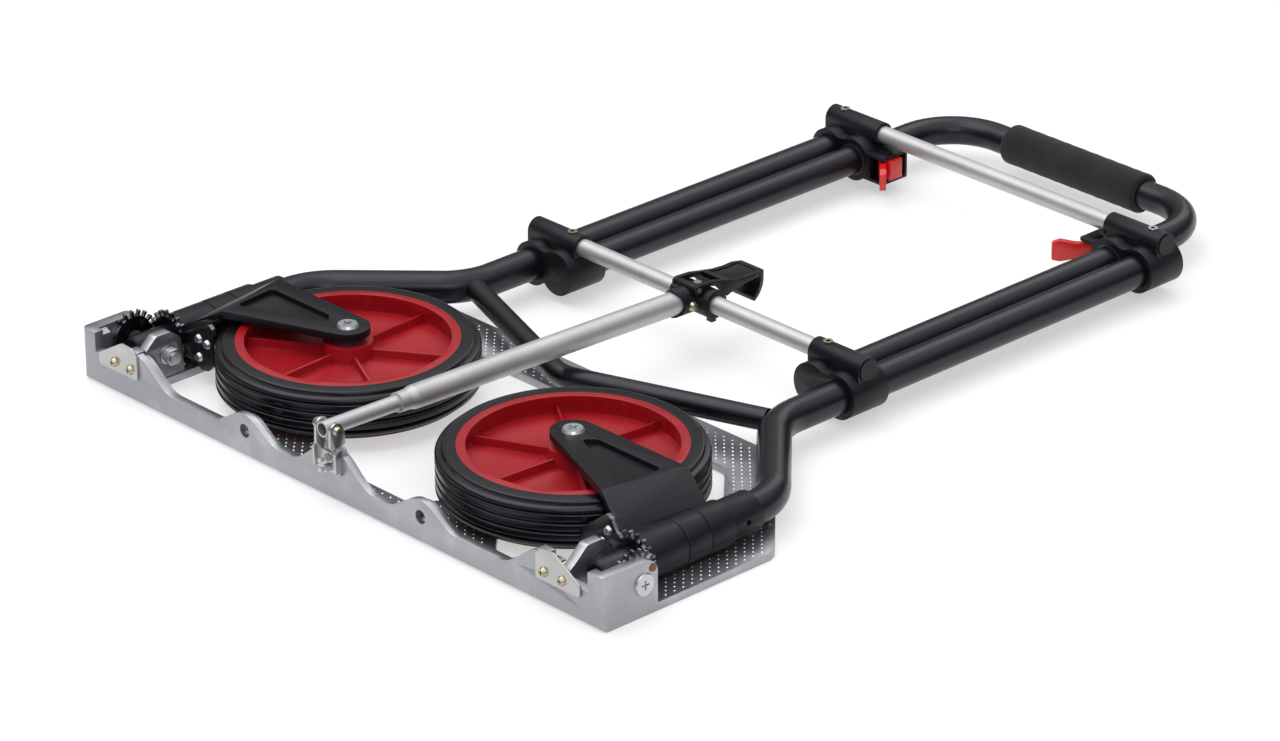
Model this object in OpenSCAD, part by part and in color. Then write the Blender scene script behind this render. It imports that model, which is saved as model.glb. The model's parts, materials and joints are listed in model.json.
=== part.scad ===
// Folding hand truck, folded flat. +X runs from the hinge to the handle, +Z is up, and +Y is its left side.
// All X values below are measured from the rear face of the toe plate's beam, and place() centres the model.

/* [Toe plate] */
// Width of the toe plate
plate_w = 490; // [486:1:494]
// Depth of the toe plate
plate_d = 234; // [232:1:238]
// Thickness of the toe plate
plate_t = 5.5; // [5:0.1:5.6]
// Height of the corner blocks and hinge lugs
block_h = 36.1; // [34:0.1:36.2]
// Height of the tube axes and of the hinge pin
axis_h = 21; // [20.8:0.1:22]
// Distance of the hinge pin from the rear face
pin_x = 33; // [32.5:0.1:33.5]

/* [Tubes] */
// Diameter of the frame tubes
frame_d = 22; // [21:0.5:22]
// Diameter of the handle tube
handle_d = 20; // [19:0.5:20]
// Diameter of the cross tubes
cross_d = 12; // [11:0.5:12]
// Distance of each hinge knuckle from the middle
knuckle_y = 218; // [217:0.5:218]
// Distance of each frame tube from the middle, past its S bend
frame_y = 142.7; // [142:0.1:143]
// Distance of each handle tube from the middle
handle_y = 119; // [118:0.1:119]
// Bend radius of the S bends
bend_r = 45; // [40:1:48]

/* [Wheels] */
// Diameter of a wheel
wheel_d = 170; // [160:1:170]
// Distance of a wheel's centre from the rear face
wheel_x = 105; // [104:0.5:106]
// Distance of a wheel's centre from the middle
wheel_y = 105.5; // [104:0.5:106]

/* [Handle and strut] */
// Position of the lower cross tube
lower_x = 311.5; // [309:0.5:313]
// Position of the upper cross tube
upper_x = 590; // [589:0.5:595]
// Position of the handle's grip bar
grip_x = 672.8; // [670:0.1:676]
// Travel of the handle
travel = 220; // [200:1:221]
// Length of the foam grip
grip_l = 123; // [100:1:126]

/* [Hidden] */
$fn = 64;
plate_hw = plate_w / 2;
frame_r = frame_d / 2;
handle_r = handle_d / 2;
cross_r = cross_d / 2;
wheel_r = wheel_d / 2;
tube_wall = 1.3;
// Gap of a running fit, and the gap that keeps other moving neighbours apart
fit = 0.07;
gap = 0.3;
// Corner block: outer wall, beam and lug
wall_y = 236.5;
beam_t = 4.5;
lip_t = 4.5;
lug_y = [199, 206];
block_x = 44;
// Bevel gears: both lie this far from the crossing of their axes
gear_off = 15.5;
gear_t = 3;
gear_root = 15.2;
gear_tip = 19.2;
gear_teeth = 20;
// Wheel bracket barrel along the frame tube
barrel_r = 15.2;
// Bevel on the ends of the barrel's segments
barrel_edge = 0.8;
barrel_x = [pin_x + gear_off + gear_t, 82, 101, 121];
collar_end = 144.5;
// Heights around the wheel
wheel_z = [8.3, 41];
upper_arm_z = [44.5, 49.5];
lower_arm_z = [2, 7];
axle_r = 4;
// Cross tubes and the clamps they sit in
cross_z = 38.5;
clamp_l = 31;
lower_clamp_x = lower_x - 15.5;
upper_clamp_x = upper_x - 17;
lobe_r = 15.2;
saddle_z = 33.4;
socket_r = 8.3;
// Strut: crank height q over the pin gives the crank length p for which rod and tube stay in line
hub_z = 40.2;
crank_q = 29;
crank_a = lower_x - pin_x;
crank_k = hub_z - axis_h;
crank_c = crank_k * crank_a + (crank_q - crank_k) * (crank_a + travel - crank_q);
crank_p = (sqrt(pow(crank_a - crank_k, 2) + 4 * crank_c) - (crank_a - crank_k)) / 2;
pivot_x = pin_x - crank_p;
pivot_z = axis_h + crank_q;
strut_tilt = atan((pivot_z - hub_z) / (lower_x - pivot_x));
rod_r = 5.1;
strut_r = 7.8;
hinge_bolt_r = 4;
// Release lever pivot
lever_x = 302.5;
lever_z = 49.3;
// Lock lever pivot
lock_x = 585;
lock_y = 98;
// The model's middle along X: from the bracket bolts' ends to the front of the grip
back_x = -9;
grip_r = 14;
mid_x = (back_x + grip_x + grip_r) / 2;

// ---- helpers ----

// Puts a piece in the model's frame, with its origin under the middle of the whole part
module place() translate([-mid_x, 0, 0]) children();

// Draws its children on the left (+1) or mirrored to the right (-1)
module side(s) mirror([0, s > 0 ? 0 : 1, 0]) children();

module both_sides() for (s = [1, -1]) side(s) children();

// Cylinder along X, Y or Z from a start point
module rod_x(x0, x1, y, z, r) translate([x0, y, z]) rotate([0, 90, 0]) cylinder(h = x1 - x0, r = r);

module rod_y(x, y0, y1, z, r) translate([x, y1, z]) rotate([90, 0, 0]) cylinder(h = y1 - y0, r = r);

module rod_z(x, y, z0, z1, r) translate([x, y, z0]) cylinder(h = z1 - z0, r = r);

// Hexagon prisms along X, Y and Z
module hex_x(x0, x1, y, z, r) translate([x0, y, z]) rotate([0, 90, 0]) cylinder(h = x1 - x0, r = r, $fn = 6);

module hex_y(x, y0, y1, z, r) translate([x, y1, z]) rotate([90, 0, 0]) cylinder(h = y1 - y0, r = r, $fn = 6);

module hex_z(x, y, z0, z1, r) translate([x, y, z0]) cylinder(h = z1 - z0, r = r, $fn = 6);

// Outline in Y and Z, drawn out along X; outline in X and Z, drawn out along Y
module along_x(x0, x1) translate([x0, 0, 0]) rotate([90, 0, 90]) linear_extrude(x1 - x0) children();

module along_y(y0, y1) translate([0, y1, 0]) rotate([90, 0, 0]) linear_extrude(y1 - y0) children();

module along_z(z0, z1) translate([0, 0, z0]) linear_extrude(z1 - z0) children();

function unit(v) = v / norm(v);

// Points of the arc that rounds corner b between a and c
function corner_arc(a, b, c, r, n = 6) =
    let (u = unit(a - b), v = unit(c - b), half = acos(u * v) / 2)
    let (centre = b + unit(u + v) * r / sin(half))
    let (from = b + u * r / tan(half) - centre, to = b + v * r / tan(half) - centre)
    let (a0 = atan2(from[1], from[0]), turn = atan2(to[1], to[0]) - a0)
    let (da = turn > 180 ? turn - 360 : turn < -180 ? turn + 360 : turn)
    [for (i = [0 : n]) centre + r * [cos(a0 + da * i / n), sin(a0 + da * i / n)]];

// Closed outline with all its corners rounded
function rounded(pts, r) =
    let (n = len(pts))
    [for (i = [0 : n - 1]) each corner_arc(pts[(i + n - 1) % n], pts[i], pts[(i + 1) % n], r)];

// Arm outline: two outer corners, and a round end about c that the edges run into
function arm_outline(corner_a, corner_b, c, r, n = 16) =
    let (to_a = corner_a - c, to_b = corner_b - c)
    let (a0 = atan2(to_a[1], to_a[0]) + acos(r / norm(to_a)))
    let (a1 = atan2(to_b[1], to_b[0]) - acos(r / norm(to_b)) + 360)
    concat([corner_b, corner_a], [for (i = [0 : n]) c + r * [cos(a0 + (a1 - a0) * i / n), sin(a0 + (a1 - a0) * i / n)]]);

// ---- toe plate body ----

// Top edge of the beam: a low centre hump, a hump over each hole, and a rise to the corner blocks
hole_y = 82.9;
hole_z = 18.3;
function bump(y, at, half, h) = abs(y - at) < half ? h * pow(cos(90 * (y - at) / half), 2) : 0;
hump_top = 33.5;
function beam_top(y) =
    min(hump_top, 16.5 + bump(y, 0, 40, 21)) + bump(y, hole_y, 32, 13.5) + bump(y, 192, 38, 19);

// The lip in front of it has narrower humps
function lip_top(y) = 14.5 + bump(y, 0, 33, 18.5) + bump(y, hole_y, 28, 12.5) + bump(y, 192, 36, 18.5);

beam_step = 4;
beam_end = 188;
beam_points = [for (y = [0 : beam_step : beam_end]) [y, beam_top(y)]];
lip_points = [for (y = [0 : beam_step : beam_end]) [y, lip_top(y)]];

module beam_half(points) polygon(concat([[0, 0]], points, [[beam_end, 0]]));

front_cut = 93.4;
corner_r = 14;
plate_outline = [
    [0, -plate_hw], [plate_d - front_cut, -plate_hw], [plate_d, front_cut - plate_hw],
    [plate_d, plate_hw - front_cut], [plate_d - front_cut, plate_hw], [0, plate_hw]
];
wheel_window = [[20, 128], [20, 198], [142.5, 198], [198, 142.5], [198, 112], [130, 87], [62, 87]];
middle_window = [[25, -44], [25, 44], [48, 60], [199, 92], [199, -92], [48, -60]];

module panel() {
    difference() {
        along_z(0, plate_t) polygon(concat(
            [plate_outline[0]],
            [for (i = [1 : 4]) each corner_arc(plate_outline[i - 1], plate_outline[i], plate_outline[i + 1], corner_r)],
            [plate_outline[5]]));
        translate([0, 0, -1]) linear_extrude(plate_t + 2) polygon(rounded(middle_window, 11));
        both_sides() {
            translate([0, 0, -1]) linear_extrude(plate_t + 2) polygon(rounded(wheel_window, 12));
            translate([9, lug_y[1], -1]) cube([44, wall_y - lug_y[1], plate_t + 2]);
        }
    }
}

// Corner block: end wall with a round top corner, rear wall with a notch, and the inner lug
lug_profile = concat([[0, 0], [46, 0], [46, 6]], corner_arc([46, 6], [44, 30], [36, block_h], 5),
    corner_arc([44, 30], [36, block_h], [24, block_h], 4), corner_arc([36, block_h], [24, block_h], [15, 28], 5),
    [[15, 28], [7, 22], [0, 22]]);
end_wall_profile = concat([[0, 0], [block_x, 0]],
    corner_arc([block_x, 0], [block_x, block_h], [0, block_h], 10), [[0, block_h]]);
notch_y = [197, wall_y - 5];

module corner_block() {
    difference() {
        union() {
            along_y(wall_y, plate_hw) polygon(end_wall_profile);
            along_y(lug_y[0], lug_y[1]) polygon(lug_profile);
            difference() {
                translate([0, beam_end, 0]) cube([beam_t + lip_t / 2, wall_y - beam_end, block_h]);
                translate([-1, notch_y[0], 23]) cube([20, notch_y[1] - notch_y[0], block_h]);
            }
            // Sloping shoulder inside the end wall
            along_x(0, 13) polygon([[wall_y - 5, 0], [wall_y, 0], [wall_y, block_h - 1.5], [wall_y - 5, block_h - 3.5]]);
        }
        rod_y(pin_x, lug_y[0] - 1, plate_hw + 1, axis_h, hinge_bolt_r);
        rod_y(pin_x + 7, wall_y - 1, plate_hw + 1, axis_h + 9, rivet_r);
    }
}

module toe_plate() place() color("silver") difference() {
    union() {
        panel();
        both_sides() {
            along_x(0, beam_t) beam_half(beam_points);
            along_x(beam_t - 0.5, beam_t + lip_t) beam_half(lip_points);
            corner_block();
        }
    }
    both_sides() rod_x(-1, 20, hole_y, hole_z, 4.5);
    for (z = bracket_bolt_z) rod_x(-1, 20, 0, z, bolt_r);
    both_sides() for (y = latch_screw_y) rod_x(-1, 6, y, latch_screw_z, 1.5);
}

// Toothed sector: tooth angles run from the mesh point upwards
rivet_r = 2;
module gear_tooth(angle) {
    rotate(angle) {
        translate([gear_root - 0.6, -0.95]) square([gear_tip - gear_root - 0.4, 1.9]);
        translate([gear_tip - 1, 0]) circle(r = 0.99);
    }
}

module sector_outline(bore) {
    difference() {
        union() {
            circle(r = gear_root);
            for (k = [-1 : 7]) gear_tooth(k * 360 / gear_teeth);
        }
        circle(r = bore);
    }
}

module gear_sector(s) place() side(s) color("dimgray") difference() {
    translate([pin_x, wall_y, axis_h]) rotate([90, 0, 0]) linear_extrude(gear_t) sector_outline(hinge_bolt_r);
    rod_y(pin_x + 7, wall_y - 5, wall_y + 1, axis_h + 9, rivet_r);
}

rivet_head_h = 0.4;
module gear_rivets() place() color("goldenrod") both_sides() {
    rod_y(pin_x + 7, wall_y - gear_t - 0.5, plate_hw + 0.2, axis_h + 9, rivet_r);
    rod_y(pin_x + 7, plate_hw, plate_hw + rivet_head_h, axis_h + 9, 2.7);
}

// Cross recess of a screw head, on the face at height h
module cross_recess(r, depth) {
    for (a = [0, 90]) rotate(a) translate([-r, -r * 0.2, -depth]) cube([2 * r, r * 0.4, depth + 1]);
}

bolt_head_h = 1.1;
module hinge_bolt(s) place() side(s) color("gainsboro") difference() {
    union() {
        rod_y(pin_x, 190.5, plate_hw + 0.2, axis_h, hinge_bolt_r);
        translate([pin_x, plate_hw, axis_h]) rotate([-90, 0, 0]) cylinder(h = bolt_head_h, r1 = 7.4, r2 = 6.9);
    }
    translate([pin_x, plate_hw + bolt_head_h, axis_h]) rotate([-90, 0, 0]) cross_recess(3, 1.2);
}

module hinge_nuts() place() color("silver") both_sides() difference() {
    union() {
        hex_y(pin_x, 192.5, 198, axis_h, 5.8);
        rod_y(pin_x, 198, lug_y[0], axis_h, 6.3);
    }
    rod_y(pin_x, 190, 200, axis_h, hinge_bolt_r);
}

// Zinc latch plates on the rear face
latch_t = 1.5;
latch_screw_y = [194.5, 210.6];
latch_screw_z = 23;
latch_outline = [[187.5, 17], [187.5, 33], [193, 38], [203, 38.5], [226, 25], [226, 17]];

module latch_plate(s) place() side(s) color("lightgray") difference() {
    union() {
        along_x(-latch_t, 0) polygon(rounded(latch_outline, 2));
        // Bent-over tab above the wall, in the notch
        translate([-latch_t, 198, 31]) cube([9, 7, latch_t]);
    }
    for (y = latch_screw_y) rod_x(-5, 5, y, latch_screw_z, 1.5);
}

module latch_screws() place() color("goldenrod") both_sides() for (y = latch_screw_y) difference() {
    union() {
        rod_x(-latch_t - 0.2, 6, y, latch_screw_z, 1.5);
        translate([-latch_t, y, latch_screw_z]) rotate([0, -90, 0]) cylinder(h = 2, r1 = 3.3, r2 = 2.2);
    }
    translate([-latch_t - 2, y, latch_screw_z]) rotate([0, -90, 0]) cross_recess(1.8, 1.2);
}

// U bracket: a web on the beam's rear face, flanges to the rear, and two ears up to the strut pivot. The web
// stays low between the ears, where the rod swings past
ear_in = rod_r + 0.6;
ear_t = 2;
web_z = [20.5, 34];
shoulder_z = 38;
bracket_bolt_z = [23.4, 30.1];
bracket_hw = 11;
ear_r = 5;
flange_z = 22.5;
bolt_r = 1.5;
nut_r = 2.8;
pivot_bolt_r = 2;
pivot_head_r = 3.2;
ear_out = ear_in + ear_t;

module strut_bracket() place() color("lightsteelblue") difference() {
    union() {
        translate([-ear_t, -bracket_hw, web_z[0]]) cube([ear_t, 2 * bracket_hw, web_z[1] - web_z[0]]);
        both_sides() {
            translate([-ear_t, ear_in, web_z[0]]) cube([ear_t, bracket_hw - ear_in, shoulder_z - web_z[0]]);
            along_y(bracket_hw - ear_t, bracket_hw) polygon([
                [0, flange_z], [-5, flange_z], [-5.4, flange_z + 12], [-4.4, shoulder_z - 0.8], [0, shoulder_z]
            ]);
            along_y(ear_in, ear_out) polygon([
                [-ear_t, web_z[1]], [-6.2, 39.5], [pivot_x - ear_r, pivot_z],
                each [for (a = [160 : -20 : 20]) [pivot_x + ear_r * cos(a), pivot_z + ear_r * sin(a)]],
                [5.4, pivot_z - 2], [6, 39.5], [0, shoulder_z - 0.5], [0, web_z[1]]
            ]);
        }
    }
    for (z = bracket_bolt_z) rod_x(-10, 5, 0, z, bolt_r);
    rod_y(pivot_x, -20, 20, pivot_z, pivot_bolt_r);
}

module bracket_bolts() place() color("gainsboro") for (z = bracket_bolt_z) {
    rod_x(back_x, beam_t + lip_t + 1, 0, z, bolt_r);
    hex_x(-ear_t - 3.5, -ear_t, 0, z, nut_r);
    rod_x(beam_t + lip_t, beam_t + lip_t + 2, 0, z, nut_r);
}

// Bolt head and nut on the ears; the rod end between them stays free
module pivot_bolt() place() color("khaki") {
    both_sides() rod_y(pivot_x, ear_in, ear_out + 0.5, pivot_z, pivot_bolt_r);
    difference() {
        translate([pivot_x, -ear_out, pivot_z]) rotate([90, 0, 0]) cylinder(h = 2.6, r1 = pivot_head_r, r2 = 2.5);
        translate([pivot_x, -ear_out - 2.6, pivot_z]) rotate([90, 0, 0]) cross_recess(1.9, 1.3);
    }
    hex_y(pivot_x, ear_out, ear_out + 4, pivot_z, pivot_head_r);
}

// ---- frame body ----

// Centre line of a frame tube: straight, S bend of 45 degrees, straight
bend_angle = 45;
s_start = collar_end + 2.5;
s_drop = knuckle_y - frame_y;
s_straight = (s_drop - 2 * bend_r * (1 - cos(bend_angle))) / sin(bend_angle);
s_end = s_start + 2 * bend_r * sin(bend_angle) + s_straight * cos(bend_angle);

// Stretches of tube along +X: straight, and bent to the left (+) or right (-). The straight ones lap over
// the ends of the bends, whose wall is a hair thinner
lap = 1;
hair = 0.05;

module pipe(x0, x1, r) translate([x0, 0, 0]) rotate([0, 90, 0]) difference() {
    cylinder(h = x1 - x0, r = r);
    translate([0, 0, -1]) cylinder(h = x1 - x0 + 2, r = r - tube_wall);
}

module elbow(radius, angle, r) rotate_extrude(angle = angle) translate([radius, 0]) difference() {
    circle(r = r - hair);
    circle(r = r - tube_wall + hair);
}

module pipe_bend(radius, angle, r) translate([0, sign(angle) * radius, 0])
    rotate([0, 0, angle > 0 ? -90 : 90 + angle]) elbow(radius, abs(angle), r);

module after_bend(radius, angle) {
    translate([0, sign(angle) * radius, 0]) rotate([0, 0, angle]) translate([0, -sign(angle) * radius, 0]) children();
}

frame_x = [pin_x + gear_off + gear_t + 0.5, upper_clamp_x + clamp_l - 3];

// Each stretch of the frame tube is drawn from the end of the one before
module frame_tube(s) place() side(s) color("#26262a") translate([s_start, knuckle_y, axis_h]) {
    pipe(frame_x[0] - s_start, lap, frame_r);
    pipe_bend(bend_r, -bend_angle, frame_r);
    after_bend(bend_r, -bend_angle) {
        pipe(-lap, s_straight + lap, frame_r);
        translate([s_straight, 0, 0]) {
            pipe_bend(bend_r, bend_angle, frame_r);
            after_bend(bend_r, bend_angle) pipe(-lap, frame_x[1] - s_end, frame_r);
        }
    }
}

// Knuckle: the tube's thinner end that the hinge bolt passes through
bush_r = 5.6;
module hinge_knuckle(s) place() side(s) color("#1c1c1f") difference() {
    union() {
        rod_x(pin_x - 11.5, frame_x[0], knuckle_y, axis_h, handle_r);
        translate([pin_x - 11.5, knuckle_y, axis_h]) rotate([0, -90, 0]) cylinder(h = 2, r1 = handle_r, r2 = handle_r - 2);
        rod_x(frame_x[0] - 1, frame_x[0] + 24, knuckle_y, axis_h, frame_r - tube_wall);
    }
    rod_x(pin_x + 12, frame_x[0] + 30, knuckle_y, axis_h, 7);
    rod_y(pin_x, lug_y[1], wall_y, axis_h, bush_r);
}

module hinge_bushes() place() color("ivory") both_sides() difference() {
    rod_y(pin_x, lug_y[1] + gap, wall_y - gear_t - gap, axis_h, bush_r);
    rod_y(pin_x, lug_y[1], wall_y, axis_h, hinge_bolt_r + fit);
}

module pivot_collar(s) place() side(s) color("#202023") difference() {
    rod_x(barrel_x[3] + gap, collar_end, knuckle_y, axis_h, 13.6);
    rod_x(100, 160, knuckle_y, axis_h, frame_r);
    rod_y(132, knuckle_y + 10, knuckle_y + 20, axis_h + 1.2, 1.7);
}

// Bent brace between the S bends
brace_r = 7.5;
brace_bend = 30;
brace_apex = 194;
brace_turn = 20;

brace_l = 152;
weld_angle = 251.5;
weld_sink = 1.2;

module v_brace() place() color("#26262a") difference() {
    union() {
        translate([brace_apex + brace_bend, 0, axis_h]) rotate([0, 0, 180 - brace_turn])
            elbow(brace_bend, 2 * brace_turn, brace_r);
        both_sides() translate([brace_apex, 0, axis_h]) rotate([0, 0, 90])
            after_bend(brace_bend, -brace_turn) pipe(-lap, brace_l, brace_r);
    }
    // Flat ends, sunk into the walls of the frame tubes
    both_sides() translate([s_end, frame_y + bend_r, 0]) rotate([0, 0, weld_angle])
        translate([-80, -40, 0]) cube([80 + bend_r + frame_r - weld_sink, 80, 60]);
}

// Two lobes and a T socket; the handle lobe is bored for its bush
bush_out = 11.4;
module clamp_body(x0) {
    for (y = [frame_y, handle_y]) rod_x(x0, x0 + clamp_l, y, axis_h, lobe_r);
    // Saddle between the lobes
    along_x(x0, x0 + clamp_l) polygon([
        [handle_y, axis_h], [handle_y + 4.5, saddle_z + 1.6], [handle_y + 8, saddle_z], [frame_y - 8, saddle_z],
        [frame_y - 4.5, saddle_z + 1.6], [frame_y, axis_h]
    ]);
}

module clamp_socket(x, y0, y1) {
    rod_y(x, y0, y1, cross_z, socket_r);
    translate([x - socket_r, handle_y - 10, axis_h + 8]) cube([2 * socket_r, y1 - handle_y + 10, cross_z - axis_h - 8]);
}

module lever_housing() {
    difference() {
        along_z(9, 29) polygon(rounded([[574.5, 91.5], [600, 91.5], [601, 112], [574.5, 112]], 2));
        // Slot for the lever, open to the inside and the rear
        along_z(11, 27) polygon([[557, 80], [597, 80], [597, 92], [591, 104], [577, 104], [557, 100]]);
        rod_z(lock_x, lock_y, 10, 28, 1.5);
    }
    // Cap over the pin
    rod_z(lock_x, lock_y, 28.9, 30, 4.2);
}

module upper_clamp(s) place() side(s) color("#202023") difference() {
    union() {
        clamp_body(upper_clamp_x);
        clamp_socket(upper_x, 106, 154);
        lever_housing();
    }
    rod_x(upper_clamp_x - 1, frame_x[1], frame_y, axis_h, frame_r);
    rod_x(upper_clamp_x - 1, upper_clamp_x + clamp_l + 2, handle_y, axis_h, bush_out);
    rod_y(upper_x, 100, 160, cross_z, cross_r);
    rod_z(upper_x, frame_y, cross_z, cross_z + 20, 2);
}

module guide_bushes() place() color("dimgray") both_sides() difference() {
    rod_x(upper_clamp_x, upper_clamp_x + clamp_l, handle_y, axis_h, bush_out);
    rod_x(upper_clamp_x - 1, upper_clamp_x + clamp_l + 1, handle_y, axis_h, handle_r + fit);
}

module lock_pins() place() color("silver") both_sides() rod_z(lock_x, lock_y, 10, 28, 1.5);

module cross_tube(x, half) {
    difference() {
        rod_y(x, -half, half, cross_z, cross_r);
        rod_y(x, -half - 1, half + 1, cross_z, cross_r - 1);
    }
}

module upper_cross_tube() place() color("silver") difference() {
    cross_tube(upper_x, 147);
    both_sides() rod_z(upper_x, frame_y, cross_z, cross_z + 20, 2);
}

module socket_rivet(x, y) {
    difference() {
        union() {
            rod_z(x, y, cross_z + cross_r - 2, cross_z + socket_r, rivet_r);
            rod_z(x, y, cross_z + socket_r, cross_z + socket_r + 0.7, 3.2);
        }
        rod_z(x, y, cross_z, cross_z + 20, 1.5);
    }
}

module upper_rivets() place() color("gainsboro") both_sides() socket_rivet(upper_x, frame_y);

module end_cap(x, y0, y1) {
    rod_y(x, y0, y1, cross_z, cross_r - hair);
    rod_y(x, y1, y1 + 1, cross_z, cross_r + 1);
}

module upper_end_caps() place() color("#1a1a1c") both_sides() end_cap(upper_x, 147, 154);

// Lock lever: a boss on a vertical pin and a paddle that points inwards and to the rear
lever_block = [[-5, 2], [-5, -9], [6.5, -9], [6, 1]];
paddle_profile = [[-2, 13], [8, 14.5], [22, 12], [27.5, 13], [27.5, 25], [22, 27], [12, 25], [-2, 25]];

module lock_lever(s) place() side(s) color("#c8201c") difference() {
    union() {
        rod_z(lock_x, lock_y, 11.4, 26.6, 5.4);
        along_z(12, 26) translate([lock_x, lock_y]) polygon(lever_block);
        translate([lock_x - 3.5, lock_y, 0]) rotate([0, 0, 225]) along_y(-2.2, 2.2) polygon(rounded(paddle_profile, 1.6));
    }
    rod_z(lock_x, lock_y, 0, 40, 1.5 + fit);
}

// ---- wheel bracket bodies ----

// Corners of the upper arm's outer edge, where its skirt folds down, and the skirt's lowest rear corner
arm_a = [61.5, 177.5];
arm_b = [120, 191.5];
skirt_c = [53, 200.6];
fold_angle = atan2(arm_b[1] - arm_a[1], arm_b[0] - arm_a[0]);
fold_slope = 27.8;
wheel_at = [wheel_x, wheel_y];
pocket = [[74, 179], [107, 182], [107, 126], [100, 118]];
pocket_depth = 3.4;

module upper_arm() {
    difference() {
        along_z(upper_arm_z[0], upper_arm_z[1]) polygon(arm_outline(arm_a, arm_b, wheel_at, 14.5));
        along_z(upper_arm_z[1] - pocket_depth, upper_arm_z[1] + 1) polygon(rounded(pocket, 3));
    }
}

// Skirt from the arm's outer edge down to the barrel. One plane falls from the slanted fold, and a steeper
// one along the barrel cuts into it. The rear part hangs lower inside, where the tyre curves away
skirt_outside = [[191.5, 49.5], [207.5, 31], [209, 27], [205, 22], [203, 26]];
module skirt() {
    intersection() {
        union() {
            along_x(50, 77) polygon(concat([[170, 49.5]], skirt_outside, [[188, 37], [181, 44], [170, 44.5]]));
            along_x(76, barrel_x[3]) polygon(concat([[170, 49.5]], skirt_outside, [[186, 45], [170, 45]]));
        }
        translate([arm_b[0], arm_b[1], upper_arm_z[1]]) rotate([0, 0, fold_angle])
            along_x(-90, 30) polygon([[-30, 0], [0, 0], [40, -40 * tan(fold_slope)], [40, -60], [-30, -60]]);
        along_z(20, 50) polygon([arm_a - [0, 0.6], skirt_c, [51.5, 215], [arm_b[0], 215], arm_b - [0, 0.6]]);
    }
}

// One segment of the barrel, with bevelled ends
module barrel(x0, x1) translate([x0, knuckle_y, axis_h]) rotate([0, 90, 0]) rotate_extrude() polygon([
    [0, 0], [barrel_r - barrel_edge, 0], [barrel_r, barrel_edge], [barrel_r, x1 - x0 - barrel_edge],
    [barrel_r - barrel_edge, x1 - x0], [0, x1 - x0]
]);

// The toothed plate's outline away from its gear. The right one is turned over, so its long edge falls inwards
function plate_points(s) = s > 0 ?
    [[210, 27], [176, 44.4], [172.6, 42], [172.6, 16], [178, 11], [185, 10], [200, 21]] :
    [[208, 30], [200, 42.5], [195.5, 44.4], [174, 27.5], [172.6, 24.5], [172.6, 18], [178, 16.5], [185, 10], [200, 21]];

// End wall that the toothed plate is screwed to
module bracket_end_wall(s) {
    along_x(barrel_x[0], barrel_x[0] + 4.5) polygon(s > 0 ?
        [[210, 30], [200.6, 35.5], [186, 43], [178, 44.5], [176.8, 34], [176.8, 16], [182, 10], [205, 12]] :
        [[210, 30], [201, 40], [195, 42.5], [179, 30], [176.8, 27], [176.8, 18], [182, 12], [205, 12]]);
}

function screws_at(s) = s > 0 ? [[186.3, 31.5], [178, 30], [186.5, 18.5]] : [[185.5, 17], [192, 24.5], [197.5, 34]];

module wheel_bracket(s) place() side(s) color("#232327") difference() {
    union() {
        barrel(barrel_x[0], barrel_x[1] - 0.2);
        barrel(barrel_x[2] + 0.2, barrel_x[3]);
        skirt();
        upper_arm();
        bracket_end_wall(s);
    }
    rod_x(barrel_x[1] - 0.2, barrel_x[2] + 0.2, knuckle_y, axis_h, barrel_r + 0.2);
    rod_x(barrel_x[0] - 1, barrel_x[3] + 1, knuckle_y, axis_h, frame_r + fit);
    rod_z(wheel_x, wheel_y, 40, 60, axle_r);
    for (p = screws_at(s)) rod_x(40, 70, p[0], p[1], 1.5);
}

module lower_arm(s) place() side(s) color("#232327") difference() {
    union() {
        barrel(barrel_x[1], barrel_x[2]);
        along_z(lower_arm_z[0], lower_arm_z[1]) polygon(arm_outline([78, 188], [112, 188], wheel_at, 13));
        along_x(barrel_x[1], barrel_x[2]) polygon([[186, 2], [189, 2], [205, 12.5], [210, 14], [208, 24], [203, 18], [186, 7]]);
    }
    rod_x(barrel_x[0], barrel_x[3], knuckle_y, axis_h, frame_r + fit);
    rod_z(wheel_x, wheel_y, 0, 10, axle_r);
    hex_z(wheel_x, wheel_y, 0, 5, 7.4);
}

// Toothed ring around the knuckle and the plate that turns the bracket
module bracket_gear(s) place() side(s) color("dimgray") difference() {
    along_x(barrel_x[0] - gear_t, barrel_x[0]) difference() {
        union() {
            translate([knuckle_y, axis_h]) {
                circle(r = gear_root);
                for (k = [-1 : 8]) gear_tooth((k + 0.5) * 360 / gear_teeth);
            }
            polygon(rounded(plate_points(s), 1.5));
        }
        translate([knuckle_y, axis_h]) circle(r = handle_r + gap);
    }
    for (p = screws_at(s)) rod_x(40, 70, p[0], p[1], 1.5);
}

module bracket_screws(s) place() side(s) color("gainsboro") for (p = screws_at(s)) {
    rod_x(barrel_x[0] - gear_t - 0.5, barrel_x[0] + 4, p[0], p[1], 1.5);
    difference() {
        translate([barrel_x[0] - gear_t, p[0], p[1]]) rotate([0, -90, 0]) cylinder(h = 1.8, r1 = 3.2, r2 = 2.3);
        translate([barrel_x[0] - gear_t - 1.8, p[0], p[1]]) rotate([0, -90, 0]) cross_recess(1.8, 1);
    }
}

module axle_bolt(s) place() side(s) color("gainsboro") {
    rod_z(wheel_x, wheel_y, 2.4, upper_arm_z[1] + 0.2, axle_r);
    difference() {
        translate([wheel_x, wheel_y, upper_arm_z[1]]) cylinder(h = 1.6, r1 = 7.2, r2 = 6.2);
        translate([wheel_x, wheel_y, upper_arm_z[1] + 1.6]) cross_recess(3.6, 1.1);
    }
    hex_z(wheel_x, wheel_y, 2.2, 5, 7.4);
}

// ---- wheel bodies ----

rim_r = 72;
hub_r = 16;
rib_count = 6;
rib_turn = 4;
wheel_mid = (wheel_z[0] + wheel_z[1]) / 2;
web_low = 25.5;
web_high = 29;
rib_z = [13.3, 34.8];
bush_hole = 8;

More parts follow.
